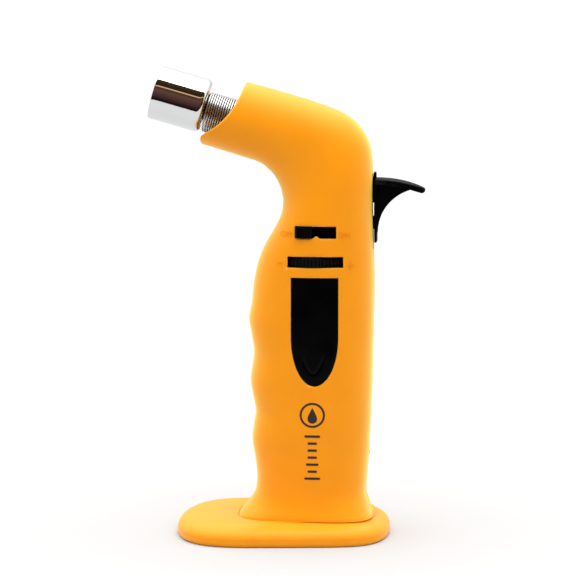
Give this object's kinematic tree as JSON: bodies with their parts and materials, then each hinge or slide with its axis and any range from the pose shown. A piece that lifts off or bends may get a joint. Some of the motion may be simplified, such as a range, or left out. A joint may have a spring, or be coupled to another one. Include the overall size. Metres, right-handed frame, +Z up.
{
  "type": "self-igniting micro torch",
  "caption": "Hand-held gas micro torch with angled chrome nozzle, sliding thumb trigger, lock slider, flame wheel and fuel window, standing on a detachable oval base.",
  "frame": {"origin": "middle of the stand's footprint, on the surface it stands on", "axes": "+Z up, -X towards the flame, +X towards the thumb trigger, -Y the side with the switch slots and the fuel window"},
  "size_m": [0.1036, 0.0616, 0.1757],
  "materials": {
    "casing_yellow": "fine satin moulded plastic",
    "stand_yellow": "fine satin moulded plastic",
    "black_plastic": "satin moulded plastic",
    "smoked_window": "smoked, nearly black",
    "chrome": "polished plating",
    "steel": "bright drawn",
    "brass": "turned",
    "seal_rubber": "matt",
    "ceramic": null,
    "tank_plastic": "natural translucent nylon",
    "igniter_case": "moulded",
    "plunger_plastic": "moulded",
    "wire_insulation": "flexible sleeve"
  },
  "bodies": {
    "stand": {"stand_base": "stand_yellow"},
    "torch": {"housing_left": "casing_yellow", "housing_right": "casing_yellow", "bottom_plate": "casing_yellow", "fuel_window": "smoked_window", "burner_nozzle": "chrome", "burner_tube": "steel", "flame_holder": "steel", "burner_tip": "brass", "jet_holder": "brass", "gas_jet": "brass", "neck_coil": "steel", "electrode_insulator": "ceramic", "ignition_electrode": "steel", "ignition_wire": "wire_insulation", "piezo_body": "igniter_case", "trigger_spring": "steel", "fuel_tank": "tank_plastic", "tank_cap": "tank_plastic", "tank_gasket": "seal_rubber", "valve_body": "brass", "valve_seal": "seal_rubber", "valve_spring": "steel", "lever_pin": "steel", "gas_tube": "brass", "fill_valve_body": "brass", "fill_valve_spring": "steel", "housing_screw_1": "steel", "housing_screw_2": "steel", "housing_screw_3": "steel", "housing_screw_4": "steel", "housing_screw_5": "steel"},
    "trigger": {"trigger": "black_plastic"},
    "igniter_plunger": {"piezo_plunger": "plunger_plastic"},
    "lever": {"valve_lever": "steel"},
    "stem": {"valve_stem": "brass"},
    "lock": {"lock_slider": "black_plastic"},
    "wheel": {"flame_wheel": "black_plastic"},
    "filler": {"fill_valve_stem": "brass"}
  },
  "joints": [
    {"name": "torch_lift", "type": "slide", "parent": "stand", "child": "torch", "axis": [0, 0, 1], "range_m": [0, 0.04]},
    {"name": "trigger_press", "type": "slide", "parent": "torch", "child": "trigger", "axis": [0, 0, -1], "range_m": [0, 0.006], "stiffness_N_per_m": 600, "springref_m": -0.004, "deforming": ["trigger_spring"]},
    {"name": "plunger_press", "type": "slide", "parent": "torch", "child": "igniter_plunger", "axis": [0, 0, -1], "range_m": [0, 0.006]},
    {"name": "lever_rock", "type": "hinge", "parent": "torch", "child": "lever", "pos_m": [0.0156, 0, 0.11915], "axis": [0, 1, 0], "range_deg": [0, 13.6]},
    {"name": "stem_lift", "type": "slide", "parent": "torch", "child": "stem", "axis": [0, 0, 1], "range_m": [0, 0.0012], "deforming": ["valve_spring"]},
    {"name": "lock_slide", "type": "slide", "parent": "torch", "child": "lock", "axis": [1, 0, 0], "range_m": [0, 0.0086]},
    {"name": "wheel_turn", "type": "hinge", "parent": "torch", "child": "wheel", "pos_m": [0.011, -0.0017, 0.1048], "axis": [0, 0, 1], "range_deg": [-90, 90]},
    {"name": "fill_press", "type": "slide", "parent": "torch", "child": "filler", "axis": [0, 0, 1], "range_m": [0, 0.0015], "stiffness_N_per_m": 400, "springref_m": -0.003, "deforming": ["fill_valve_spring"]}
  ],
  "couplings": [
    {"joint": "plunger_press", "follows": "trigger_press", "ratio": 1},
    {"joint": "lever_rock", "follows": "trigger_press", "rad_per_m": 39.27},
    {"joint": "stem_lift", "follows": "trigger_press", "ratio": 0.2}
  ]
}
